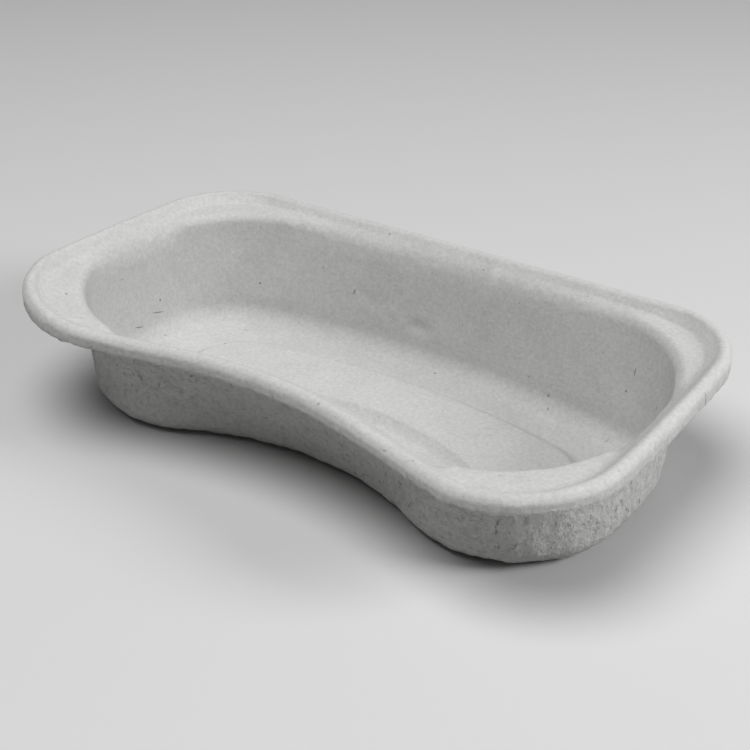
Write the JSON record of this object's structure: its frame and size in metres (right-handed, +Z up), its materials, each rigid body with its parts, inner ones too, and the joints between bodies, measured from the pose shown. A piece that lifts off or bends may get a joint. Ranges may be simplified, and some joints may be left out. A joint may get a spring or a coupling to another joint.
{
  "type": "kidney dish",
  "caption": "Kidney-shaped shallow dish moulded from grey paper pulp, with a raised rim, turned-down lip and a raised pad in its floor.",
  "frame": {"origin": "middle of the dish's bounding box, on the surface it stands on", "axes": "+X along the dish, +Y from the waist side to the back, +Z up out of the basin"},
  "size_m": [0.255, 0.144, 0.05],
  "materials": {
    "pulp": "matt moulded paper pulp, rough outside, felted inside"
  },
  "bodies": {
    "root": {"dish_shell": "pulp"}
  },
  "joints": []
}
